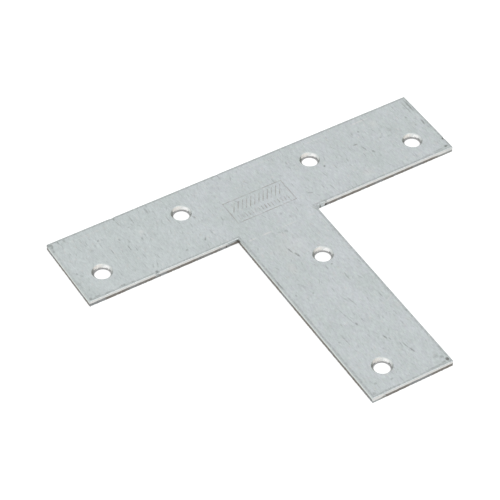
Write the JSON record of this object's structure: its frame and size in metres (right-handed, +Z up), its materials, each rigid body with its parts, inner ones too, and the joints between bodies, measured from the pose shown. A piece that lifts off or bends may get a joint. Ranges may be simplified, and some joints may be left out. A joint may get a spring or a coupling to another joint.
{
  "type": "t-shaped joining plate",
  "caption": "Flat T-shaped plate punched from galvanised steel sheet, with staggered screw holes along its bar and stem, for joining timber beams and posts.",
  "frame": {"origin": "on the underside, where the centre line of the bar crosses the centre line of the stem", "axes": "+X along the bar, -Y along the stem towards its end, +Z up through the sheet to the side with the rolled edges"},
  "size_m": [0.14, 0.11, 0.002],
  "materials": {
    "galvanised_steel": "satin"
  },
  "bodies": {
    "root": {"tee_plate": "galvanised_steel"}
  },
  "joints": []
}
